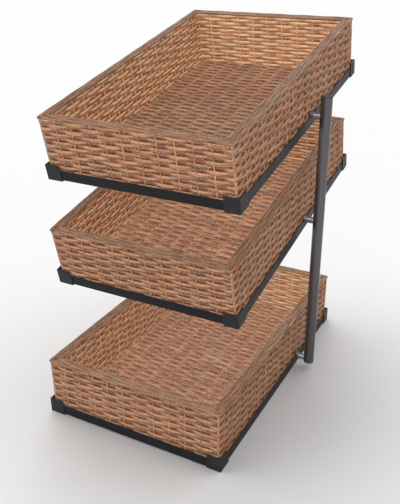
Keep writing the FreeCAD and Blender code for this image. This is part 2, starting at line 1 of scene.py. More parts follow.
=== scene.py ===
# %% [markdown]
# # A bakery bread rack, dressed for its picture
# The rack is three black trays on two posts, with a woven cane basket in each tray. The rails, corner
# mouldings, posts, studs and nuts arrive finished in shape from the CAD model, and only need a surface.
# The baskets arrive as plain blocks, so this script weaves them. Everything is in metres, +Z is up, and
# the front of the rack looks along -Y.

# %% Load the frame
import json
from math import atan2, cos, degrees, pi, radians, sin

import bpy
from mathutils import Matrix, Vector


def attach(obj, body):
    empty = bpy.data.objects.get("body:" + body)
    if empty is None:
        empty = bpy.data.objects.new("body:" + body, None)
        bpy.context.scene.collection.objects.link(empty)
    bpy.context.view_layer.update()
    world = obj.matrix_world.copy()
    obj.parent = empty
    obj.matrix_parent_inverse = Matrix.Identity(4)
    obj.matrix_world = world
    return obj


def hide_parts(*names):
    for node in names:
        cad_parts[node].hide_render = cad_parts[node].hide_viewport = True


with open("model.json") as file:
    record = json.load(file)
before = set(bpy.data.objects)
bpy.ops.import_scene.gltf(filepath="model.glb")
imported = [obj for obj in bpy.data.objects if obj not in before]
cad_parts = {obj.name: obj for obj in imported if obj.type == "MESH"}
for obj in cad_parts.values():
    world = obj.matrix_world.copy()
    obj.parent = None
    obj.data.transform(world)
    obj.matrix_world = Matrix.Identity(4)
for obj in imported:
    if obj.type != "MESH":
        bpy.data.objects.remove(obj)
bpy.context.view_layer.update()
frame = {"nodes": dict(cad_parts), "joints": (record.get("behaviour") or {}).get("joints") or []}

TIERS = ("base", "middle", "top")
nodes = frame["nodes"]

# %% [markdown]
# ## The camera
# A camera is easiest to place by what it does: where it stands, where it points and how much it sees.
# It stands to the right of the rack's front and looks down on it. The field of view comes from the
# focal length in pixels, turned into millimetres on a sensor as high as the picture.

# %% Place the camera
PICTURE_HIGH = 504           # pixels
FOCAL_PIXELS = 679.4
SENSOR_HIGH = 36.0           # millimetres
EYE = Vector((0.6256, -1.2061, 0.9220))
HEADING, DOWN, ROLL = radians(28.2), radians(25.69), radians(-0.64)


def place_camera():
    """A camera at EYE, turned left by HEADING, tipped by DOWN and rolled by ROLL."""
    ahead = Vector((-sin(HEADING) * cos(DOWN), cos(HEADING) * cos(DOWN), -sin(DOWN)))
    level = Vector((cos(HEADING), sin(HEADING), 0.0))
    over = level.cross(ahead)
    right = level * cos(ROLL) + over * sin(ROLL)
    above = over * cos(ROLL) - level * sin(ROLL)
    data = bpy.data.cameras.new("camera")
    data.sensor_fit = "VERTICAL"
    data.sensor_height = SENSOR_HIGH
    data.lens = FOCAL_PIXELS * SENSOR_HIGH / PICTURE_HIGH
    camera = bpy.data.objects.new("camera", data)
    turned = Matrix((right, above, -ahead)).transposed().to_4x4()      # a camera looks along its own -Z
    camera.matrix_world = Matrix.Translation(EYE) @ turned
    bpy.context.scene.collection.objects.link(camera)
    bpy.context.scene.camera = camera
    return camera


print(f"camera lens {place_camera().data.lens:.2f} mm")

# %% [markdown]
# ## Colours and small builders
# Blender's shaders count light, so they want linear colours, while people read colours off a screen.
# `paint` turns the one into the other. `put` adds a node, sets it and links it in a single call, which
# keeps a node tree readable as a list of steps. `new_tree` opens a tree with one named socket for each
# value that can be set from outside.

# %% Helpers for colours and node trees
def paint(red, green, blue):
    """A linear colour from the three screen values, 0 to 255."""
    def linear(value):
        value = value / 255
        return value / 12.92 if value <= 0.04045 else ((value + 0.055) / 1.055) ** 2.4
    return (linear(red), linear(green), linear(blue), 1.0)


def put(tree, kind, inputs=None, out=0, **settings):
    """Add a node, set it up, feed its inputs from sockets or values, and return one output."""
    made = tree.nodes.new(kind)
    for name, value in settings.items():
        setattr(made, name, value)
    for key, value in (inputs or {}).items():
        if isinstance(value, bpy.types.NodeSocket):
            tree.links.new(value, made.inputs[key])
        else:
            made.inputs[key].default_value = value
    return made.outputs[out]


def new_tree(name, kind, takes, gives):
    """An empty tree with named inputs and outputs, its input sockets, and a way to end it."""
    tree = bpy.data.node_groups.new(name, kind)
    for label, socket in takes.items():
        tree.interface.new_socket(label, in_out="INPUT", socket_type="NodeSocket" + socket)
    for label, socket in gives.items():
        tree.interface.new_socket(label, in_out="OUTPUT", socket_type="NodeSocket" + socket)
    given = tree.nodes.new("NodeGroupInput").outputs
    end = tree.nodes.new("NodeGroupOutput")

    def give(**results):
        for label, socket in results.items():
            tree.links.new(socket, end.inputs[label])
    return tree, given, give


print("linear mid grey", [round(value, 3) for value in paint(128, 128, 128)])

# %% Helpers for sums with numbers and with vectors
def calc(tree, operation, *values):
    """One Math node."""
    return put(tree, "ShaderNodeMath", dict(enumerate(values)), operation=operation)


def vector(tree, x=0.0, y=0.0, z=0.0):
    """A vector put together from three numbers."""
    return put(tree, "ShaderNodeCombineXYZ", {0: x, 1: y, 2: z})


def calc_vectors(tree, operation, *values, out=0):
    """One Vector Math node."""
    return put(tree, "ShaderNodeVectorMath", dict(enumerate(values)), out=out, operation=operation)


def scaled(tree, arrow, factor):
    """A vector made longer or shorter."""
    return put(tree, "ShaderNodeVectorMath", {0: arrow, "Scale": factor}, operation="SCALE")


def outward_of_path(tree):
    """The level direction square to a path, which points outwards on a loop round the basket."""
    return calc_vectors(tree, "CROSS_PRODUCT", put(tree, "GeometryNodeInputTangent"), (0.0, 0.0, 1.0))


print("a node tree can add, scale and turn numbers and vectors")

# %% [markdown]
# ## One strand of cane
# Every basket is made of the same thing: a flat strand that swings from one side of the weave to the
# other. It could be modelled by hand and copied, but a strand that follows a rule is better made by
# Geometry Nodes. The path already has the same number of points in each span, so the strand's swing is
# the sine of its point number, made blunter, because cane bends sharply and then runs straight. Where it
# dips it may sink less deep than it bulges. It is swept with an oval section, a little fuller where it
# bulges. It also remembers some numbers for the cane's material: how far along the strand a point is,
# whether it is on the crest or on the side, how far the strand stands out there, and whether it is on
# its way out or in.

# %% Tree: a cane strand
SECTION_POINTS = 10
STRAND_SIZES = {
    "Swing out": "Float", "Swing up": "Float", "Wide": "Float", "High": "Float",
    "Swell": "Float", "Sink": "Float", "Blunt": "Float",
}


def keep(tree, shape, name, value, domain="POINT"):
    """Store a number on the geometry for the material to read."""
    return put(tree, "GeometryNodeStoreNamedAttribute",
               {"Geometry": shape, "Name": name, "Value": value}, data_type="FLOAT", domain=domain)


def oval_section(tree, wide, high):
    """The outline that is swept along a strand. Its points know how near the crest and the side they are."""
    section = put(tree, "GeometryNodeCurvePrimitiveCircle",
                  {"Resolution": SECTION_POINTS, "Radius": 0.5}, mode="RADIUS")
    angle = calc(tree, "MULTIPLY", put(tree, "GeometryNodeSplineParameter"), 2 * pi)
    section = keep(tree, section, "crest", calc(tree, "COSINE", angle))
    section = keep(tree, section, "side", calc(tree, "SINE", angle))
    return put(tree, "GeometryNodeTransform", {"Geometry": section, "Scale": vector(tree, wide, high, 1.0)})


def strand_tree():
    """A strand that swings about its path."""
    tree, given, give = new_tree("cane strand", "GeometryNodeTree", {
        "Path": "Geometry", "Steps": "Int", "Phase": "Float", **STRAND_SIZES,
    }, {"Strand": "Geometry"})
    step = calc(tree, "DIVIDE", pi, given["Steps"])
    turn = calc(tree, "MULTIPLY_ADD", put(tree, "GeometryNodeInputIndex"), step, given["Phase"])
    wave = calc(tree, "SINE", turn)
    blunt = calc(tree, "POWER", calc(tree, "ABSOLUTE", wave), given["Blunt"])
    blunt = calc(tree, "MULTIPLY", blunt, calc(tree, "SIGN", wave))
    swing = calc(tree, "MAXIMUM", blunt, calc(tree, "MULTIPLY", blunt, given["Sink"]))
    sideways = scaled(tree, outward_of_path(tree), calc(tree, "MULTIPLY", swing, given["Swing out"]))
    upward = vector(tree, z=calc(tree, "MULTIPLY", swing, given["Swing up"]))
    offset = calc_vectors(tree, "ADD", sideways, upward)
    path = put(tree, "GeometryNodeSetPosition", {"Geometry": given["Path"], "Offset": offset})
    path = keep(tree, path, "rise", calc(tree, "MULTIPLY_ADD", wave, 0.5, 0.5))
    path = keep(tree, path, "slope", calc(tree, "COSINE", turn))
    path = keep(tree, path, "along", put(tree, "GeometryNodeSplineParameter", out=1))
    path = put(tree, "GeometryNodeSetCurveNormal", {"Curve": path}, mode="Z_UP")
    mesh = put(tree, "GeometryNodeCurveToMesh", {
        "Curve": path, "Profile Curve": oval_section(tree, given["Wide"], given["High"]),
        "Scale": calc(tree, "MULTIPLY_ADD", wave, given["Swell"], 1.0), "Fill Caps": True})
    give(Strand=mesh)
    return tree


STRAND = strand_tree()
print("strand tree:", len(STRAND.nodes), "nodes")

# %% [markdown]
# ## Rows of strands
# In plain weave each row swings the opposite way to the row beside it. So two strands are made, one in
# step and one out of step, and a line of points takes them in turn. Every row gets one number more, from
# a fixed seed, so that the material can give it its own shade.

# %% Tree: woven rows
WEAVE_SIZES = {
    "Steps": "Int", "Rows": "Int", "First row": "Vector", "Row step": "Vector", "Row shrink": "Vector",
    "Phase": "Float", **STRAND_SIZES, "Seed": "Int",
}


def rows_tree():
    """Strands beside each other along a line, where each may be smaller than the one before."""
    tree, given, give = new_tree("woven rows", "GeometryNodeTree", {
        "Path": "Geometry", **WEAVE_SIZES}, {"Rows": "Geometry"})
    sizes = {label: given[label] for label in ("Path", "Steps", *STRAND_SIZES)}
    pair = tree.nodes.new("GeometryNodeGeometryToInstance")
    for half_turn in (0.0, pi):
        phase = calc(tree, "ADD", given["Phase"], half_turn)
        strand = put(tree, "GeometryNodeGroup", {**sizes, "Phase": phase}, node_tree=STRAND)
        tree.links.new(strand, pair.inputs[0])
    line = put(tree, "GeometryNodeMeshLine",
               {"Count": given["Rows"], "Start Location": given["First row"], "Offset": given["Row step"]})
    number = put(tree, "GeometryNodeInputIndex")
    shrink = scaled(tree, given["Row shrink"], number)
    rows = put(tree, "GeometryNodeInstanceOnPoints", {
        "Points": line, "Instance": pair.outputs[0], "Pick Instance": True,
        "Instance Index": calc(tree, "MODULO", number, 2.0),
        "Scale": calc_vectors(tree, "SUBTRACT", (1.0, 1.0, 1.0), shrink)})
    shade = put(tree, "FunctionNodeRandomValue", {"ID": number, "Seed": given["Seed"]}, out=1)
    give(Rows=keep(tree, rows, "strand", shade, "INSTANCE"))
    return tree


ROWS = rows_tree()
print("rows tree:", len(ROWS.nodes), "nodes")

# %% [markdown]
# ## Walls, rim and floor
# The walls and the rim follow the basket round its four sides, so their path is a rectangle with
# rounded corners, cut into whole spans on each side so that a stake stands in every corner. The
# floor's strands run straight from side to side. Thin stakes stand where the rows pass in front of them
# and behind them in turn, and show as light lines, painted as lit as the upper part of a bulge. A thin
# dark sheet lies behind the weave of the walls and under the floor, where it stands in for the shade
# inside the wall. It carries none of the strands' numbers, so the cane's painted shade keeps it dark,
# and it stops the daylight in the smallest gaps. Hand work is never quite even. So each tree ends by
# making one mesh of its instances and moving the points a little with noise, by a slow wander and a
# quick one, before the mesh takes the cane's material.

# %% The end of every woven tree
WANDERS = ((14.0, 1.0), (110.0, 0.6))        # noise features per metre, and their share of the unevenness


def finish_weave(tree, shape, given):
    """Make one mesh of the instances, move its points a little, smooth it and give it its material."""
    shape = put(tree, "GeometryNodeRealizeInstances", {"Geometry": shape})
    for features, share in WANDERS:
        noise = put(tree, "ShaderNodeTexNoise", {"W": given["Seed"], "Scale": features, "Detail": 1.0},
                    out=1, noise_dimensions="4D")
        centred = calc_vectors(tree, "SUBTRACT", noise, (0.5, 0.5, 0.5))
        offset = scaled(tree, centred, calc(tree, "MULTIPLY", given["Uneven"], share))
        shape = put(tree, "GeometryNodeSetPosition", {"Geometry": shape, "Offset": offset})
    shape = put(tree, "GeometryNodeSetShadeSmooth", {"Geometry": shape})
    return put(tree, "GeometryNodeSetMaterial", {"Geometry": shape, "Material": given["Cane"]})


def join(tree, parts):
    """All the parts as one geometry."""
    joined = tree.nodes.new("GeometryNodeJoinGeometry")
    for part in parts:
        tree.links.new(part, joined.inputs[0])
    return joined.outputs[0]


print("unevenness in", len(WANDERS), "sizes of noise")

# %% Stakes
STAKE_STRAND = {"Steps": 3, "Swell": 0.1, "Blunt": 1.0}       # straight, and a little uneven in thickness
# Painted light: a stake is painted as lit as the upper part of a bulge, with no painted seam or dip shade
STAKE_PAINTED_LIGHT = {"crest": 1.0, "side": -0.3, "rise": 1.0}        # as light as the upper part of a bulge


def stakes(tree, places, start, end, points, thick, seed):
    """A round stake from start to end at each place, with a number of its own for its shade."""
    rod = put(tree, "GeometryNodeCurvePrimitiveLine", {"Start": start, "End": end})
    rod = put(tree, "GeometryNodeResampleCurve", {"Curve": rod, "Count": points})
    rod = put(tree, "GeometryNodeGroup", {"Path": rod, "Wide": thick, "High": thick, **STAKE_STRAND},
              node_tree=STRAND)
    for name, value in STAKE_PAINTED_LIGHT.items():
        rod = keep(tree, rod, name, value)
    stood = put(tree, "GeometryNodeInstanceOnPoints", {"Points": places, "Instance": rod})
    shade = put(tree, "FunctionNodeRandomValue",
                {"ID": put(tree, "GeometryNodeInputIndex"), "Seed": seed}, out=1)
    return keep(tree, stood, "strand", shade, "INSTANCE")


print("a stake is a strand with", STAKE_STRAND)

# %% A loop round the basket, and the rows woven round it
LOOP_SIZES = {
    "Loop width": "Float", "Loop depth": "Float", "Loop round": "Float",
    "Spans across": "Int", "Spans along": "Int", **WEAVE_SIZES, "Uneven": "Float", "Cane": "Material",
}


def rounded(tree, path, given):
    """Move a rectangle's points near its corners on to an arc, and leave the others where they are."""
    radius = given["Loop round"]
    position = put(tree, "GeometryNodeInputPosition")
    half = vector(tree, calc(tree, "MULTIPLY", given["Loop width"], 0.5),
                  calc(tree, "MULTIPLY", given["Loop depth"], 0.5))
    centre = calc_vectors(tree, "SUBTRACT", half, vector(tree, radius, radius))
    distance = calc_vectors(tree, "ABSOLUTE", position)
    beyond = calc_vectors(tree, "SUBTRACT", distance, centre)
    beyond = calc_vectors(tree, "MAXIMUM", beyond, (0.0, 0.0, 0.0))
    share = calc(tree, "DIVIDE", radius, calc_vectors(tree, "LENGTH", beyond, out=1))
    before = calc_vectors(tree, "MINIMUM", distance, centre)
    placed = calc_vectors(tree, "ADD", before, scaled(tree, beyond, share))
    placed = calc_vectors(tree, "MULTIPLY", placed, calc_vectors(tree, "SIGN", position))
    return put(tree, "GeometryNodeSetPosition", {"Geometry": path, "Position": placed})


def loop_path(tree, given):
    """The rectangle round the basket, and how many spans its four sides have in turn."""
    square = put(tree, "GeometryNodeCurvePrimitiveQuadrilateral",
                 {"Width": given["Loop width"], "Height": given["Loop depth"]})
    is_long_side = calc(tree, "MODULO", put(tree, "GeometryNodeInputIndex"), 2.0)
    more = calc(tree, "SUBTRACT", given["Spans along"], given["Spans across"])
    return square, calc(tree, "MULTIPLY_ADD", is_long_side, more, given["Spans across"])


def loop_rows(tree, given, square, spans):
    """The rows woven round the basket."""
    path = put(tree, "GeometryNodeSubdivideCurve",
               {"Curve": square, "Cuts": calc(tree, "MULTIPLY_ADD", spans, given["Steps"], -1.0)})
    return put(tree, "GeometryNodeGroup", {
        "Path": rounded(tree, path, given), **{label: given[label] for label in WEAVE_SIZES},
    }, node_tree=ROWS)


print("a loop is set by", list(LOOP_SIZES)[:5])

# %% Tree: woven rim
def rim_tree():
    """Rows all the way round, and nothing else."""
    tree, given, give = new_tree("woven rim", "GeometryNodeTree", LOOP_SIZES, {"Mesh": "Geometry"})
    rows = loop_rows(tree, given, *loop_path(tree, given))
    give(Mesh=finish_weave(tree, rows, given))
    return tree


RIM = rim_tree()
print("rim tree:", len(RIM.nodes), "nodes")

# %% Tree: woven wall
WALL_STAKE_POINTS = 20
SHADE_SHEET_UP = -1.0             # the way that a profile's own Y axis points on a loop round the basket


def wall_shade_sheet(tree, given):
    """An upright dark band behind the rows, as high as the stakes, which stands in for the shade inside the
    wall.
    """
    wide, deep = (calc(tree, "MULTIPLY_ADD", given["Shade sheet in"], -2.0, given[label])
                  for label in ("Loop width", "Loop depth"))
    low, high = (vector(tree, y=calc(tree, "MULTIPLY", given[label], SHADE_SHEET_UP))
                 for label in ("Stake foot", "Stake head"))
    return put(tree, "GeometryNodeCurveToMesh", {
        "Curve": put(tree, "GeometryNodeCurvePrimitiveQuadrilateral", {"Width": wide, "Height": deep}),
        "Profile Curve": put(tree, "GeometryNodeCurvePrimitiveLine", {"Start": low, "End": high})})


def wall_tree():
    """Rows all the way round, with stakes between the corners and in them, and a dark sheet for the shade
    behind them.
    """
    tree, given, give = new_tree("woven wall", "GeometryNodeTree", {
        **LOOP_SIZES, "Stake foot": "Float", "Stake head": "Float", "Stake thick": "Float",
        "Stake proud": "Float", "Corner thick": "Float", "Shade sheet in": "Float",
    }, {"Mesh": "Geometry"})
    square, spans = loop_path(tree, given)
    rows = loop_rows(tree, given, square, spans)
    crossings = put(tree, "GeometryNodeSubdivideCurve",
                    {"Curve": square, "Cuts": calc(tree, "SUBTRACT", spans, 1.0)})
    proud = scaled(tree, outward_of_path(tree), given["Stake proud"])
    crossings = put(tree, "GeometryNodeSetPosition",
                    {"Geometry": rounded(tree, crossings, given), "Offset": proud})
    foot, head = vector(tree, z=given["Stake foot"]), vector(tree, z=given["Stake head"])
    upright, corner = (
        stakes(tree, places, foot, head, WALL_STAKE_POINTS, given[thick], given["Seed"])
        for places, thick in ((crossings, "Stake thick"), (square, "Corner thick")))
    whole = join(tree, (rows, upright, corner, wall_shade_sheet(tree, given)))
    give(Mesh=finish_weave(tree, whole, given))
    return tree


WALL = wall_tree()
print("wall tree:", len(WALL.nodes), "nodes")

# %% Tree: woven floor
FLOOR_STAKE_POINTS = 40
FLOOR_SHADE_SHEET = 0.0012        # above the basket's underside
FLOOR_SHADE_SHEET_POINTS = {"Vertices X": 12, "Vertices Y": 20}


def floor_shade_sheet(tree, given):
    """A flat dark sheet under the floor's rows, which stands in for the shade under them."""
    sheet = put(tree, "GeometryNodeMeshGrid",
                {"Size X": given["Width"], "Size Y": given["Depth"], **FLOOR_SHADE_SHEET_POINTS})
    return put(tree, "GeometryNodeTransform",
               {"Geometry": sheet, "Translation": vector(tree, z=FLOOR_SHADE_SHEET)})


def floor_tree():
    """Straight rows from left to right, with stakes from front to back, and a dark sheet for the shade under
    them.
    """
    tree, given, give = new_tree("woven floor", "GeometryNodeTree", {
        "Width": "Float", "Depth": "Float", "Height": "Float", "Spans": "Int", **WEAVE_SIZES,
        "Stake thick": "Float", "Stake up": "Float", "Uneven": "Float", "Cane": "Material",
    }, {"Mesh": "Geometry"})
    left, right = (calc(tree, "MULTIPLY", given["Width"], half) for half in (-0.5, 0.5))
    front, back = (vector(tree, y=calc(tree, "MULTIPLY", given["Depth"], half)) for half in (-0.5, 0.5))
    straight = put(tree, "GeometryNodeCurvePrimitiveLine",
                   {"Start": vector(tree, x=left), "End": vector(tree, x=right)})
    path = put(tree, "GeometryNodeResampleCurve",
               {"Curve": straight, "Count": calc(tree, "MULTIPLY_ADD", given["Spans"], given["Steps"], 1.0)})
    rows = put(tree, "GeometryNodeGroup", {
        "Path": path, **{label: given[label] for label in WEAVE_SIZES}}, node_tree=ROWS)
    crossings = put(tree, "GeometryNodeMeshLine", {
        "Count": calc(tree, "ADD", given["Spans"], 1.0),
        "Start Location": vector(tree, left, 0.0, calc(tree, "ADD", given["Height"], given["Stake up"])),
        "Offset": vector(tree, calc(tree, "DIVIDE", given["Width"], given["Spans"]))})
    lengthwise = stakes(tree, crossings, front, back, FLOOR_STAKE_POINTS, given["Stake thick"], given["Seed"])
    whole = join(tree, (rows, lengthwise, floor_shade_sheet(tree, given)))
    give(Mesh=finish_weave(tree, whole, given))
    return tree


FLOOR = floor_tree()
print("floor tree:", len(FLOOR.nodes), "nodes")

# %% [markdown]
# ## The cane's surface
# Lacquered cane is honey brown and never one colour: strands differ, each bulge has its own shade, fine
# fibres run along it, and the seams between two canes are dark, partly from lacquer and dust and partly
# from painted shade. The shader group reads the numbers that the strands carry, so its streaks
# bend with every strand. A cane in a wall shows its crest, and one that lies flat its side. The light and
# shade of the weave are painted too: a bulge is painted lighter the further it stands out, its upper part
# gets a painted highlight, and a dip gets painted shade, darkest at its top, close under the bulge above,
# and at the end where the stake would shade it.

# %% Shader group: cane
# Noise features per metre along a strand, features from its side to its crest, and finer layers on top
BULGES = {"lengthwise": 24.0, "across": 1.2, "detail": 1.0}
FIBRES = {"lengthwise": 160.0, "across": 11.0, "detail": 3.0}
SPECKS = {"lengthwise": 700.0, "across": 2.5, "detail": 0.0}
ROWS_APART = 90.0            # features between the patterns of the lightest and the darkest strand


def cane_group():
    """Cane's colour with painted light and shade, its fine relief and its roughness, from the numbers on the
    strands.
    """
    tree, given, give = new_tree("cane surface", "ShaderNodeTree", {
        "Light": "Color", "Middle": "Color", "Dark": "Color", "Seam and painted shade": "Color",
        "Strand shift": "Float", "Painted crest light": "Float", "Streak": "Float", "Speck": "Float",
        "Seam": "Float", "Seam reach": "Float", "Painted dip shade": "Float", "Painted top light": "Float", "Painted shadow end": "Float",
        "Lies flat": "Float", "Hues per metre": "Float", "Redder": "Color", "Yellower": "Color",
    }, {"Color": "Color", "Height": "Float", "Roughness": "Float"})
    along, crest, side, rise, slope, strand = (
        put(tree, "ShaderNodeAttribute", out=2, attribute_name=name)
        for name in ("along", "crest", "side", "rise", "slope", "strand"))
    row = calc(tree, "MULTIPLY", strand, ROWS_APART)

    def noise(lengthwise, across, detail):
        """Noise on the strand's own two directions, with another pattern on every row."""
        place = vector(tree, calc(tree, "MULTIPLY", along, lengthwise),
                       calc(tree, "MULTIPLY", side, across), row)
        return put(tree, "ShaderNodeTexNoise", {"Vector": place, "Scale": 1.0, "Detail": detail})

    def ramp(value, low, high, to_low=0.0, to_high=1.0):
        """A value turned from one range to another, and held at its ends."""
        return put(tree, "ShaderNodeMapRange", {
            "Value": value, "From Min": low, "From Max": high, "To Min": to_low, "To Max": to_high})

    def mix(factor, first, second, kind="MIX"):
        """Two colours mixed."""
        return put(tree, "ShaderNodeMix", {0: factor, 6: first, 7: second},
                   out=2, data_type="RGBA", blend_type=kind)

    def share(value, strength):
        """How far a value lies from its middle, made stronger or weaker."""
        return calc(tree, "MULTIPLY", calc(tree, "SUBTRACT", value, 0.5), strength)

    # The shade of each strand, each bulge and each fibre
    bulge, fibre, speck = noise(**BULGES), noise(**FIBRES), noise(**SPECKS)
    tone = calc(tree, "ADD", ramp(bulge, 0.3, 0.7), share(strand, given["Strand shift"]))
    # Painted light: a bulge is made lighter the further it stands out
    tone = calc(tree, "ADD", tone, share(rise, given["Painted crest light"]))
    tone = calc(tree, "ADD", tone, share(fibre, given["Streak"]))
    colour = mix(ramp(tone, 0.0, 0.55), given["Dark"], given["Middle"])
    colour = mix(ramp(tone, 0.5, 1.1), colour, given["Light"])
    lighter = calc(tree, "MULTIPLY", ramp(speck, 0.56, 0.70), given["Speck"])
    darker = calc(tree, "MULTIPLY", ramp(speck, 0.44, 0.30), given["Speck"])
    colour = mix(lighter, colour, given["Light"])
    colour = mix(darker, colour, given["Dark"])

    # Painted highlight on the upper part of a bulge, as if lit from above
    upper = calc(tree, "MULTIPLY_ADD", calc(tree, "ADD", side, crest),
                 given["Lies flat"], calc(tree, "SUBTRACT", 0.0, side))
    painted_top_light = calc(tree, "MULTIPLY", ramp(upper, 0.1, 0.45), ramp(rise, -0.6, 0.6))
    colour = mix(calc(tree, "MULTIPLY", painted_top_light, given["Painted top light"]), colour, given["Light"])

    # Painted shade in the dips, and dark seams that are partly lacquer and dust and partly painted shade
    crest_square, side_square = (calc(tree, "MULTIPLY", value, value) for value in (crest, side))
    shown = calc(tree, "MULTIPLY_ADD", calc(tree, "SUBTRACT", side_square, crest_square),
                 given["Lies flat"], crest_square)
    # Dark seams between canes: partly lacquer and dust, partly painted shade
    seam_dust_and_shade = ramp(shown, calc(tree, "SUBTRACT", given["Seam reach"], 0.5), given["Seam reach"], 1.0, 0.0)
    seam_dust_and_shade = calc(tree, "MULTIPLY", seam_dust_and_shade, given["Seam"])
    # Painted shadow close under the bulge above, and painted stake shadow at one end of each dip
    painted_shadow_under_bulge = ramp(upper, 0.25, 0.7)
    painted_stake_shadow = ramp(calc(tree, "MULTIPLY", slope, given["Painted shadow end"]), 0.1, 0.9, 0.0, 0.8)
    painted_dip_shade = calc(tree, "MULTIPLY", calc(tree, "MAXIMUM", painted_shadow_under_bulge, painted_stake_shadow), given["Painted dip shade"])
    painted_dip_shade = calc(tree, "MULTIPLY", painted_dip_shade, ramp(rise, 0.05, 0.55, 1.0, 0.0))
    colour = mix(calc(tree, "MAXIMUM", seam_dust_and_shade, painted_dip_shade), colour,
                 mix(1.0, colour, given["Seam and painted shade"], "MULTIPLY"))

    # Patches of redder and yellower cane
    patch = put(tree, "ShaderNodeTexNoise", {
        "Vector": put(tree, "ShaderNodeTexCoord", out=3), "Scale": given["Hues per metre"], "Detail": 2.0})
    hue = mix(ramp(patch, 0.35, 0.65), given["Redder"], given["Yellower"])
    colour = mix(1.0, colour, hue, "MULTIPLY")
    give(Color=colour, Height=fibre, Roughness=ramp(bulge, 0.3, 0.7, 0.62, 0.48))
    return tree


CANE = cane_group()
print("cane group:", len(CANE.nodes), "nodes")

# %% Helpers for materials
def surface(name, roughness, metallic=0.0, specular=0.5):
    """A new material, its node tree, and the sockets of its Principled BSDF."""
    material = bpy.data.materials.new(name)
    material.use_nodes = True
    shader = material.node_tree.nodes["Principled BSDF"]
    shader.inputs["Roughness"].default_value = roughness
    shader.inputs["Metallic"].default_value = metallic
    shader.inputs["Specular IOR Level"].default_value = specular
    return material, material.node_tree, shader.inputs


def feed(tree, shader, group, values, strength, distance):
    """Let a shader group with these values give a material its colour, roughness and fine relief."""
    made = tree.nodes.new("ShaderNodeGroup")
    made.node_tree = group
    for label, value in values.items():
        made.inputs[label].default_value = value
    tree.links.new(made.outputs["Color"], shader["Base Color"])
    tree.links.new(made.outputs["Roughness"], shader["Roughness"])
    bump = put(tree, "ShaderNodeBump",
               {"Strength": strength, "Distance": distance, "Height": made.outputs["Height"]})
    tree.links.new(bump, shader["Normal"])


print("a material takes its colour, roughness and relief from a group")

# %% One cane material for each layer of each basket
# Crest light, top light and dip shade are painted light and shade; the seams are partly painted shade
EVERY_CANE = {
    "Strand shift": 0.35, "Painted crest light": 0.2, "Streak": 1.1, "Speck": 0.9,
    "Seam": 0.6, "Seam reach": 0.5, "Painted dip shade": 0.7, "Painted top light": 0.45,
    "Hues per metre": 60.0, "Redder": (1.05, 0.93, 0.86, 1.0), "Yellower": (0.95, 1.05, 1.04, 1.0),
}
# Each layer's three shades are partly the cane's own colour and partly painted light: the inner weave is
# painted lighter to make up for the light it loses inside the basket. The painted shadow end says which end
# of a dip gets the painted stake shadow, by the way the path runs.
CANES = {
    "outer_weave": {"Light": (190, 143, 109), "Middle": (132, 93, 70), "Dark": (89, 57, 40),
                    "Seam and painted shade": (172, 108, 76), "Painted shadow end": 1.0, "Lies flat": 0.0},
    "inner_weave": {"Light": (224, 184, 147), "Middle": (191, 147, 113), "Dark": (138, 95, 69),
                    "Seam and painted shade": (174, 112, 80), "Painted shadow end": -1.0, "Lies flat": 0.0},
    "floor_weave": {"Light": (180, 135, 103), "Middle": (130, 94, 71), "Dark": (92, 62, 45),
                    "Seam and painted shade": (172, 108, 76), "Painted shadow end": 1.0, "Lies flat": 1.0},
    "rim_weave": {"Light": (205, 158, 122), "Middle": (158, 115, 87), "Dark": (108, 73, 52),
                  "Seam and painted shade": (172, 108, 76), "Painted shadow end": 0.0, "Lies flat": 1.0},
}
SHADES = ("Light", "Middle", "Dark")
# Painted light and shade: each piece of each basket is made lighter or darker to match the light it gets
PAINTED_LIGHT_TONES = {                    # how light each piece is, from the base basket to the top one
    "outer_weave": (0.92, 0.93, 0.99), "inner_weave": (0.95, 0.97, 1.0),
    "floor_weave": (1.07, 1.09, 0.93), "rim_weave": (0.79, 0.755, 0.78),
}
FIBRE_BUMP, FIBRE_RELIEF = 0.35, 0.0006      # strength, and metres


def cane_material(name, look, tone):
    """A lacquered cane whose three shades are made lighter or darker by tone, which paints in the light and
    shade of the piece's place.
    """
    material, tree, shader = surface(name, 0.55, specular=0.35)
    shades = {label: paint(*(value * tone for value in look[label])) for label in SHADES}
    values = {**EVERY_CANE, **look, **shades, "Seam and painted shade": paint(*look["Seam and painted shade"])}
    feed(tree, shader, CANE, values, FIBRE_BUMP, FIBRE_RELIEF)
    return material


CANE_OF = {
    (tier, layer): cane_material(f"cane_{tier}_{layer}", look, tone)
    for layer, look in CANES.items()
    for tier, tone in zip(TIERS, PAINTED_LIGHT_TONES[layer])
}
print(len(CANE_OF), "cane materials")

# %% [markdown]
# ## Weave the baskets
# A basket is woven level, around its own origin in the middle of its underside, and then moved as a mesh
# into its tray. Two of the baskets lean forward with their trays, by the slant of the direction in which
# they lift out. The CAD block gives the place: turned back level, its lowest and highest corners are the
# basket's own, and the weave gets its size from them.

# %% Where each basket lies, and how large it is
def lean_of(tier):
    """The angle by which a tier's basket leans forward, from the joint that lifts it."""
    lift = next(joint for joint in frame["joints"] if joint["name"] == f"{tier}_basket_lift")
    return atan2(-lift["axis"][1], lift["axis"][2])


def place_of(tier):
    """The turn and shift from the level basket to its tray, and the basket's size."""
    lean = lean_of(tier)
    back = Matrix.Rotation(-lean, 3, "X")
    level = [back @ vertex.co for vertex in nodes[f"{tier}_basket"].data.vertices]
    low = Vector([min(point[axis] for point in level) for axis in range(3)])
    high = Vector([max(point[axis] for point in level) for axis in range(3)])
    middle = Vector(((low.x + high.x) / 2, (low.y + high.y) / 2, low.z))
    return Matrix.Rotation(lean, 4, "X") @ Matrix.Translation(middle), high - low


for tier in TIERS:
    size = place_of(tier)[1]
    print(f"{tier} basket {size.x:.3f} x {size.y:.3f} x {size.z:.3f} m, leans {degrees(lean_of(tier)):.1f}")

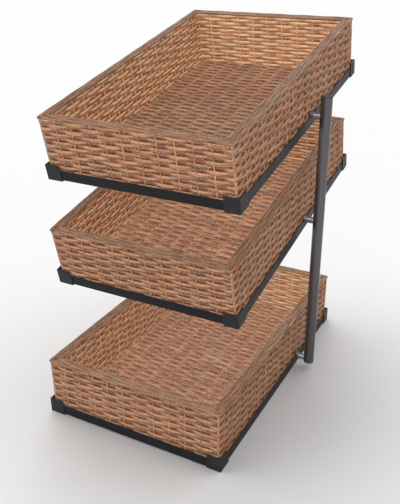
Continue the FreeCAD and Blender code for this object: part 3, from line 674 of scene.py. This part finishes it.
# %% Sizes that all the woven pieces share
CANE_PITCH = 0.0084          # from one row to the next
OVER_A_STAKE, BEYOND_IT = pi / 2, 0.3       # where along its wave a strand crosses a stake
OUTSIDE_SPANS = {"Spans across": 11, "Spans along": 17}
INSIDE_SPANS = {"Spans across": 10, "Spans along": 17}
EVERY_WEAVE = {
    "Steps": 6, "Row shrink": (0.0, 0.0, 0.0), "Swell": 0.04, "Blunt": 0.4, "Phase": OVER_A_STAKE,
    "Loop round": 0.004,
}


def loop(size, inset):
    """A rectangle that lies inside the basket's outline by inset."""
    return {"Loop width": size.x - inset * 2, "Loop depth": size.y - inset * 2}


print(f"rows {CANE_PITCH * 1000:.1f} mm apart")

# %% Sizes of the walls
WALL_THICK = 0.0215
LAYER_MIDDLE = 0.0055        # from either face of the wall to the middle of its woven layer
WALL_SWING = 0.0024
STAKE_FOOT = 0.001
STAKE_SHORT = 0.003          # from the top of the basket to the head of a stake
STAKE_PROUD = 0.0031         # from the middle of the layer towards the face
OUTER_CORNER, INNER_CORNER = 0.0052, 0.0036
SHADE_SHEET_IN = 0.0031           # from the middle of the layer towards the middle of the wall
FLOOR_THICK = 0.0075
WALL_WEAVE = {
    **EVERY_WEAVE, "Rows": 14, "First row": (0.0, 0.0, 0.0052), "Row step": (0.0, 0.0, CANE_PITCH),
    "Swing up": 0.0, "Wide": 0.0042, "High": 0.0092, "Sink": 0.35, "Stake thick": 0.0031, "Uneven": 0.0008,
}


def outer_sizes(size):
    """The outside of the walls."""
    return {**WALL_WEAVE, **loop(size, LAYER_MIDDLE), **OUTSIDE_SPANS, "Swing out": WALL_SWING,
            "Stake foot": STAKE_FOOT, "Stake head": size.z - STAKE_SHORT, "Stake proud": STAKE_PROUD,
            "Corner thick": OUTER_CORNER, "Shade sheet in": SHADE_SHEET_IN, "Phase": OVER_A_STAKE - BEYOND_IT}


def inner_sizes(size):
    """The inside of the walls, seen from the middle of the basket, so its swing is the other way."""
    return {**WALL_WEAVE, **loop(size, WALL_THICK - LAYER_MIDDLE), **INSIDE_SPANS, "Swing out": -WALL_SWING,
            "Stake foot": FLOOR_THICK, "Stake head": size.z - STAKE_SHORT, "Stake proud": -STAKE_PROUD,
            "Corner thick": INNER_CORNER, "Shade sheet in": -SHADE_SHEET_IN, "Phase": OVER_A_STAKE + BEYOND_IT}


print(f"walls of {WALL_WEAVE['Rows']} rows, {WALL_THICK * 1000:.1f} mm thick")

# %% Sizes of the rim and the floor
RIM_CANES = 5
RIM_CANE_WIDE, RIM_CANE_HIGH = 0.0043, 0.0034
RIM_SUNK = 0.6               # of a rim cane's height, from the top of the basket to the cane's middle
FLOOR_SPANS = 11
FLOOR_SHORT_X, FLOOR_SHORT_Y = 0.020, 0.018  # how much shorter the floor is than the basket


def rim_sizes(size):
    """Flat canes side by side round the top edge."""
    edge = loop(size, RIM_CANE_WIDE / 2)
    apart = (WALL_THICK - RIM_CANE_WIDE) / (RIM_CANES - 1)
    return {**EVERY_WEAVE, **edge, **OUTSIDE_SPANS,
            "Rows": RIM_CANES, "First row": (0.0, 0.0, size.z - RIM_CANE_HIGH * RIM_SUNK),
            "Row step": (0.0, 0.0, 0.0),
            "Row shrink": (apart * 2 / edge["Loop width"], apart * 2 / edge["Loop depth"], 0.0),
            "Swing out": 0.0, "Swing up": 0.0002, "Wide": RIM_CANE_WIDE, "High": RIM_CANE_HIGH,
            "Sink": 1.0, "Blunt": 1.0, "Uneven": 0.0001}


def floor_sizes(size):
    """The floor, which also reaches under the walls."""
    wide, deep = size.x - FLOOR_SHORT_X, size.y - FLOOR_SHORT_Y
    canes = int(deep / CANE_PITCH)
    return {**EVERY_WEAVE, "Width": wide, "Depth": deep, "Height": FLOOR_THICK / 2,
            "Spans": FLOOR_SPANS, "Rows": canes,
            "First row": (0.0, -(canes - 1) * CANE_PITCH / 2, FLOOR_THICK / 2),
            "Row step": (0.0, CANE_PITCH, 0.0), "Swing out": 0.0, "Swing up": 0.0012, "Sink": 1.0,
            "Wide": 0.0092, "High": 0.0034, "Stake thick": 0.0026, "Stake up": 0.0014, "Uneven": 0.0006}


print(f"a rim of {RIM_CANES} canes, and a floor {FLOOR_THICK * 1000:.1f} mm thick")

# %% Weave all three baskets
LAYERS = {"outer_weave": (WALL, outer_sizes), "inner_weave": (WALL, inner_sizes),
          "rim_weave": (RIM, rim_sizes), "floor_weave": (FLOOR, floor_sizes)}


def weave(name, tree, place, sizes):
    """Run a tree with these sizes and keep the result as one plain mesh at its place."""
    empty = bpy.data.meshes.new(name + "_start")
    piece = bpy.data.objects.new(name, empty)
    bpy.context.scene.collection.objects.link(piece)
    run = piece.modifiers.new("weave", "NODES")
    run.node_group = tree
    for socket in tree.interface.items_tree:
        if socket.in_out == "INPUT":
            run[socket.identifier] = sizes[socket.name]
    graph = bpy.context.evaluated_depsgraph_get()
    mesh = bpy.data.meshes.new_from_object(
        piece.evaluated_get(graph), preserve_all_data_layers=True, depsgraph=graph)
    piece.modifiers.clear()
    piece.data = mesh
    bpy.data.meshes.remove(empty)
    mesh.name = name
    mesh.transform(place)
    print(f"{name}: {len(mesh.vertices)} points, {len(mesh.polygons)} faces")
    return piece


for number, tier in enumerate(TIERS):
    place, size = place_of(tier)
    for order, (layer, (tree, sizes)) in enumerate(LAYERS.items()):
        seed = 10 * number + order + 1
        piece = weave(f"{tier}_{layer}", tree, place,
                      {**sizes(size), "Seed": seed, "Cane": CANE_OF[tier, layer]})
        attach(piece, f"{tier}_basket")
        if layer == "outer_weave":
            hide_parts(f"{tier}_basket")

# %% [markdown]
# ## Metal and moulded surfaces
# The rails are powder coated and the corners moulded, both nearly black, so what tells them apart is
# their sheen and grain. The posts are a dark grey metallic paint. The studs, nuts and spacers are plated
# steel. One shader group gives them all their fine grain and their faint mottling, and each material
# places it with its own values.

# %% Shader group: fine grain
def grain_group():
    """A mottle between two tones, a grain for the relief, and a roughness that follows the mottle."""
    tree, given, give = new_tree("fine grain", "ShaderNodeTree", {
        "Tone": "Color", "Worn": "Color", "Grain per metre": "Float", "Mottle per metre": "Float",
        "Stretch": "Vector", "Smooth": "Float", "Rough": "Float",
    }, {"Color": "Color", "Height": "Float", "Roughness": "Float"})
    place = calc_vectors(tree, "MULTIPLY", put(tree, "ShaderNodeTexCoord", out=3), given["Stretch"])
    grain = put(tree, "ShaderNodeTexNoise",
                {"Vector": place, "Scale": given["Grain per metre"], "Detail": 3.0})
    mottle = put(tree, "ShaderNodeTexNoise",
                 {"Vector": place, "Scale": given["Mottle per metre"], "Detail": 4.0, "Roughness": 0.6})
    spread = put(tree, "ShaderNodeMapRange", {"Value": mottle, "From Min": 0.35, "From Max": 0.7})
    colour = put(tree, "ShaderNodeMix", {0: spread, 6: given["Tone"], 7: given["Worn"]},
                 out=2, data_type="RGBA")
    shine = put(tree, "ShaderNodeMapRange", {
        "Value": mottle, "From Min": 0.3, "From Max": 0.7,
        "To Min": given["Smooth"], "To Max": given["Rough"]})
    give(Color=colour, Height=grain, Roughness=shine)
    return tree


GRAIN = grain_group()
print("grain group:", len(GRAIN.nodes), "nodes")

# %% The finishes of the hard pieces
EVEN = (1.0, 1.0, 1.0)
ALONG_Z = (1.0, 1.0, 0.06)   # a grain that is drawn out along the post
GRAIN_RELIEF = 0.0003        # metres
LOOKS = {                    # tone and worn tone, grain and mottle per metre, smoothest and roughest, bump
    "satin_powder_coat": ((23, 23, 26), (30, 30, 34), 1500, 26, 0.34, 0.48, 0.25),
    "moulded_corner": ((28, 29, 32), (36, 37, 41), 2600, 40, 0.42, 0.55, 0.35),
    "metallic_grey_paint": ((90, 89, 92), (103, 101, 103), 1800, 30, 0.27, 0.35, 0.1),
    "moulded_plug": ((48, 49, 52), (60, 61, 64), 2600, 40, 0.4, 0.55, 0.3),
    "bright_plating": ((222, 222, 226), (200, 201, 206), 900, 90, 0.14, 0.26, 0.05),
    "turned_steel": ((172, 175, 182), (150, 153, 160), 2400, 120, 0.28, 0.42, 0.2),
    "zinc_plating": ((178, 180, 184), (156, 158, 164), 1200, 160, 0.3, 0.5, 0.15),
    "dark_primer": ((84, 74, 66), (68, 58, 50), 1600, 60, 0.6, 0.75, 0.4),
}
METALLIC = {"metallic_grey_paint": 0.8, "bright_plating": 1.0, "turned_steel": 1.0, "zinc_plating": 1.0}
SHINE = {"satin_powder_coat": 0.12}
STRETCH = {"metallic_grey_paint": ALONG_Z}


def grained(name, tone, worn, grain, mottle, smooth, rough, bump):
    """A material of one finish: two close tones, a grain, a mottle, and how smooth to how rough."""
    material, tree, shader = surface(name, smooth, METALLIC.get(name, 0.0), SHINE.get(name, 0.2))
    values = {
        "Tone": paint(*tone), "Worn": paint(*worn), "Grain per metre": grain, "Mottle per metre": mottle,
        "Stretch": STRETCH.get(name, EVEN), "Smooth": smooth, "Rough": rough,
    }
    feed(tree, shader, GRAIN, values, bump, GRAIN_RELIEF)
    return material


FINISHES = {name: grained(name, *look) for name, look in LOOKS.items()}
print(len(FINISHES), "finishes share the grain")

# %% Give every CAD node its finish
ENDINGS = {
    "_rail": "satin_powder_coat", "_corner": "moulded_corner", "_post": "metallic_grey_paint",
    "_plug": "moulded_plug", "_lock_nut": "bright_plating", "_spacer": "turned_steel",
    "_stud": "zinc_plating", "_screws": "zinc_plating", "_barrel_nuts": "turned_steel",
    "_basket_frame": "dark_primer",
}


def finish_of(name):
    """The finish of a node, from the ending of its name. What is left is the baskets' own blocks."""
    for ending, finish in ENDINGS.items():
        if name.endswith(ending):
            return FINISHES[finish]
    return CANE_OF["top", "outer_weave"]


for name, node in nodes.items():
    for holder in node.material_slots:
        holder.material = finish_of(name)
print("finished", len(nodes), "nodes")

# %% [markdown]
# ## Floor and light
# The rack stands on a plain pale floor that is wide enough to fill the picture. In a studio each lamp
# has a flag in front of it that keeps it off what it shouldn't light, and Blender's light linking does
# the same. Two wide lamps wash the floor alone, from the left and from the back, so that the floor is
# white with a broad soft shadow towards the front and the right. The rack has its own lamps: a key, low
# in front, which models the canes, and fills without shadows from the front and the back, which open up
# the trays that stand under another one.

# %% Lay the floor
FLOOR_REACH = 30.0
FLOOR_PALE = (0.88, 0.88, 0.88, 1.0)


def lay_floor():
    """One large square under the rack, which is part of the studio and not of the object."""
    corners = [(x * FLOOR_REACH, y * FLOOR_REACH, 0.0) for x, y in ((-1, -1), (1, -1), (1, 1), (-1, 1))]
    mesh = bpy.data.meshes.new("studio_floor")
    mesh.from_pydata(corners, [], [(0, 1, 2, 3)])
    floor = bpy.data.objects.new("studio_floor", mesh)
    bpy.context.scene.collection.objects.link(floor)
    material, tree, shader = surface("pale_floor", 0.9, specular=0.1)
    shader["Base Color"].default_value = FLOOR_PALE
    mesh.materials.append(material)
    return floor


floor = lay_floor()
print("floor reaches", FLOOR_REACH, "m each way")

# %% Set the light
WORLD_SEEN, WORLD_LIGHT = 1.0, 0.35
LAMPS = {
    "floor_left": {"strength": 2.42, "spread": 90, "source": (-0.78, 0.24, 0.57), "shadow": True},
    "floor_back": {"strength": 1.68, "spread": 90, "source": (0.24, 0.78, 0.57), "shadow": True},
    "front_key": {"strength": 0.7, "spread": 25, "source": (-0.20, -0.95, 0.22), "shadow": True},
    "front_fill": {"strength": 3.1, "spread": 50, "source": (0.25, -0.60, 0.75), "shadow": False},
    "back_fill": {"strength": 1.6, "spread": 50, "source": (-0.30, 0.90, 0.30), "shadow": False},
}


def set_world():
    """A white world that is seen brighter than it shines."""
    world = bpy.data.worlds.new("pale_world")
    world.use_nodes = True
    tree = world.node_tree
    is_seen = put(tree, "ShaderNodeLightPath")
    strength = put(tree, "ShaderNodeMapRange",
                   {"Value": is_seen, "To Min": WORLD_LIGHT, "To Max": WORLD_SEEN})
    sky = tree.nodes["Background"].inputs
    sky["Color"].default_value = (1.0, 1.0, 1.0, 1.0)
    tree.links.new(strength, sky["Strength"])
    bpy.context.scene.world = world


def set_lamp(name, strength, spread, source, shadow):
    """A distant lamp that shines from source, either on the floor alone or on all but the floor."""
    data = bpy.data.lights.new(name, "SUN")
    data.energy = strength
    data.angle = radians(spread)
    data.use_shadow = shadow
    lamp = bpy.data.objects.new(name, data)
    lamp.rotation_euler = Vector(source).to_track_quat("Z", "Y").to_euler()
    bpy.context.scene.collection.objects.link(lamp)
    flag = bpy.data.collections.new(name + "_flag")
    flag.objects.link(floor)
    lamp.light_linking.receiver_collection = flag
    on_floor = "INCLUDE" if name.startswith("floor") else "EXCLUDE"
    flag.collection_objects[0].light_linking.link_state = on_floor


set_world()
for name, settings in LAMPS.items():
    set_lamp(name, **settings)
bpy.context.scene.view_settings.view_transform = "Standard"
print(len(LAMPS), "lamps")
